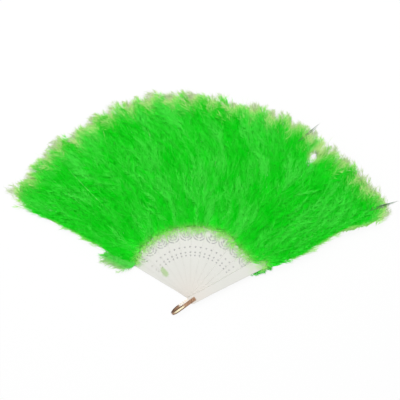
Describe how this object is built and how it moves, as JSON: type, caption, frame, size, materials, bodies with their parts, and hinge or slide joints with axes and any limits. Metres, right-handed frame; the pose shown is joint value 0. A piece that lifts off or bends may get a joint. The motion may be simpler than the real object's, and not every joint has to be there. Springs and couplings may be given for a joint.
{
  "type": "folding feather fan",
  "caption": "Folding hand fan of pierced plastic sticks on a rivet, with a metal bail and green marabou plumes.",
  "frame": {"origin": "on the rivet's axis, at the foot of the rivet, in the plane that the open fan lies on", "axes": "+X to the right of the open fan seen from the front, +Y from the rivet up the middle of the fan, +Z out of the front along the rivet's axis"},
  "size_m": [0.486, 0.2973, 0.0364],
  "materials": {
    "ivory_plastic": "satin",
    "rose_brass": "polished",
    "white_ribbon": "matte",
    "green_plume": "matte"
  },
  "bodies": {
    "rear_guard_body": {"rear_guard": "ivory_plastic", "rear_guard_front_plume": "green_plume", "rear_guard_back_plume": "green_plume", "rivet": "rose_brass"},
    "stick_1_body": {"stick_1": "ivory_plastic", "stick_1_front_plume": "green_plume", "stick_1_back_plume": "green_plume", "ribbon_link_1": "white_ribbon"},
    "stick_2_body": {"stick_2": "ivory_plastic", "stick_2_left_plume": "green_plume", "stick_2_right_plume": "green_plume", "stick_2_back_plume": "green_plume", "ribbon_link_2": "white_ribbon"},
    "stick_3_body": {"stick_3": "ivory_plastic", "stick_3_left_plume": "green_plume", "stick_3_right_plume": "green_plume", "stick_3_back_plume": "green_plume", "ribbon_link_3": "white_ribbon"},
    "stick_4_body": {"stick_4": "ivory_plastic", "stick_4_left_plume": "green_plume", "stick_4_right_plume": "green_plume", "stick_4_back_plume": "green_plume", "ribbon_link_4": "white_ribbon"},
    "stick_5_body": {"stick_5": "ivory_plastic", "stick_5_left_plume": "green_plume", "stick_5_right_plume": "green_plume", "stick_5_back_plume": "green_plume", "ribbon_link_5": "white_ribbon"},
    "stick_6_body": {"stick_6": "ivory_plastic", "stick_6_left_plume": "green_plume", "stick_6_right_plume": "green_plume", "stick_6_back_plume": "green_plume", "ribbon_link_6": "white_ribbon"},
    "stick_7_body": {"stick_7": "ivory_plastic", "stick_7_left_plume": "green_plume", "stick_7_right_plume": "green_plume", "stick_7_back_plume": "green_plume", "ribbon_link_7": "white_ribbon"},
    "stick_8_body": {"stick_8": "ivory_plastic", "stick_8_left_plume": "green_plume", "stick_8_right_plume": "green_plume", "stick_8_back_plume": "green_plume", "ribbon_link_8": "white_ribbon"},
    "stick_9_body": {"stick_9": "ivory_plastic", "stick_9_left_plume": "green_plume", "stick_9_right_plume": "green_plume", "stick_9_back_plume": "green_plume", "ribbon_link_9": "white_ribbon"},
    "stick_10_body": {"stick_10": "ivory_plastic", "stick_10_left_plume": "green_plume", "stick_10_right_plume": "green_plume", "stick_10_back_plume": "green_plume", "ribbon_link_10": "white_ribbon"},
    "front_guard_body": {"front_guard": "ivory_plastic", "front_guard_front_plume": "green_plume", "front_guard_back_plume": "green_plume", "ribbon_link_11": "white_ribbon"},
    "bail_body": {"bail": "rose_brass"}
  },
  "joints": [
    {"name": "fan_fold", "type": "hinge", "parent": "rear_guard_body", "child": "front_guard_body", "pos_m": [0, 0, 0], "axis": [0, 0, 1], "range_deg": [0, 119.4], "deforming": ["rear_guard_front_plume", "rear_guard_back_plume", "front_guard_front_plume", "front_guard_back_plume", "ribbon_link_11"]},
    {"name": "stick_10_turn", "type": "hinge", "parent": "rear_guard_body", "child": "stick_10_body", "pos_m": [0, 0, 0], "axis": [0, 0, 1], "range_deg": [0, 111.6], "deforming": ["stick_10_left_plume", "stick_10_right_plume", "stick_10_back_plume", "ribbon_link_10"]},
    {"name": "stick_9_turn", "type": "hinge", "parent": "rear_guard_body", "child": "stick_9_body", "pos_m": [0, 0, 0], "axis": [0, 0, 1], "range_deg": [0, 99.6], "deforming": ["stick_9_left_plume", "stick_9_right_plume", "stick_9_back_plume", "ribbon_link_9"]},
    {"name": "stick_8_turn", "type": "hinge", "parent": "rear_guard_body", "child": "stick_8_body", "pos_m": [0, 0, 0], "axis": [0, 0, 1], "range_deg": [0, 87.6], "deforming": ["stick_8_left_plume", "stick_8_right_plume", "stick_8_back_plume", "ribbon_link_8"]},
    {"name": "stick_7_turn", "type": "hinge", "parent": "rear_guard_body", "child": "stick_7_body", "pos_m": [0, 0, 0], "axis": [0, 0, 1], "range_deg": [0, 75.6], "deforming": ["stick_7_left_plume", "stick_7_right_plume", "stick_7_back_plume", "ribbon_link_7"]},
    {"name": "stick_6_turn", "type": "hinge", "parent": "rear_guard_body", "child": "stick_6_body", "pos_m": [0, 0, 0], "axis": [0, 0, 1], "range_deg": [0, 63.6], "deforming": ["stick_6_left_plume", "stick_6_right_plume", "stick_6_back_plume", "ribbon_link_6"]},
    {"name": "stick_5_turn", "type": "hinge", "parent": "rear_guard_body", "child": "stick_5_body", "pos_m": [0, 0, 0], "axis": [0, 0, 1], "range_deg": [0, 51.6], "deforming": ["stick_5_left_plume", "stick_5_right_plume", "stick_5_back_plume", "ribbon_link_5"]},
    {"name": "stick_4_turn", "type": "hinge", "parent": "rear_guard_body", "child": "stick_4_body", "pos_m": [0, 0, 0], "axis": [0, 0, 1], "range_deg": [0, 39.6], "deforming": ["stick_4_left_plume", "stick_4_right_plume", "stick_4_back_plume", "ribbon_link_4"]},
    {"name": "stick_3_turn", "type": "hinge", "parent": "rear_guard_body", "child": "stick_3_body", "pos_m": [0, 0, 0], "axis": [0, 0, 1], "range_deg": [0, 27.6], "deforming": ["stick_3_left_plume", "stick_3_right_plume", "stick_3_back_plume", "ribbon_link_3"]},
    {"name": "stick_2_turn", "type": "hinge", "parent": "rear_guard_body", "child": "stick_2_body", "pos_m": [0, 0, 0], "axis": [0, 0, 1], "range_deg": [0, 15.6], "deforming": ["stick_2_left_plume", "stick_2_right_plume", "stick_2_back_plume", "ribbon_link_2"]},
    {"name": "stick_1_turn", "type": "hinge", "parent": "rear_guard_body", "child": "stick_1_body", "pos_m": [0, 0, 0], "axis": [0, 0, 1], "range_deg": [0, 7.8], "deforming": ["stick_1_front_plume", "stick_1_back_plume", "ribbon_link_1"]},
    {"name": "bail_swing", "type": "hinge", "parent": "rear_guard_body", "child": "bail_body", "pos_m": [0, 0, 0], "axis": [0, 0, 1], "range_deg": [-45, 150]}
  ],
  "couplings": [
    {"joint": "stick_1_turn", "follows": "fan_fold", "ratio": 0.065327},
    {"joint": "stick_2_turn", "follows": "fan_fold", "ratio": 0.13065},
    {"joint": "stick_3_turn", "follows": "fan_fold", "ratio": 0.23116},
    {"joint": "stick_4_turn", "follows": "fan_fold", "ratio": 0.33166},
    {"joint": "stick_5_turn", "follows": "fan_fold", "ratio": 0.43216},
    {"joint": "stick_6_turn", "follows": "fan_fold", "ratio": 0.53266},
    {"joint": "stick_7_turn", "follows": "fan_fold", "ratio": 0.63317},
    {"joint": "stick_8_turn", "follows": "fan_fold", "ratio": 0.73367},
    {"joint": "stick_9_turn", "follows": "fan_fold", "ratio": 0.83417},
    {"joint": "stick_10_turn", "follows": "fan_fold", "ratio": 0.93467}
  ]
}
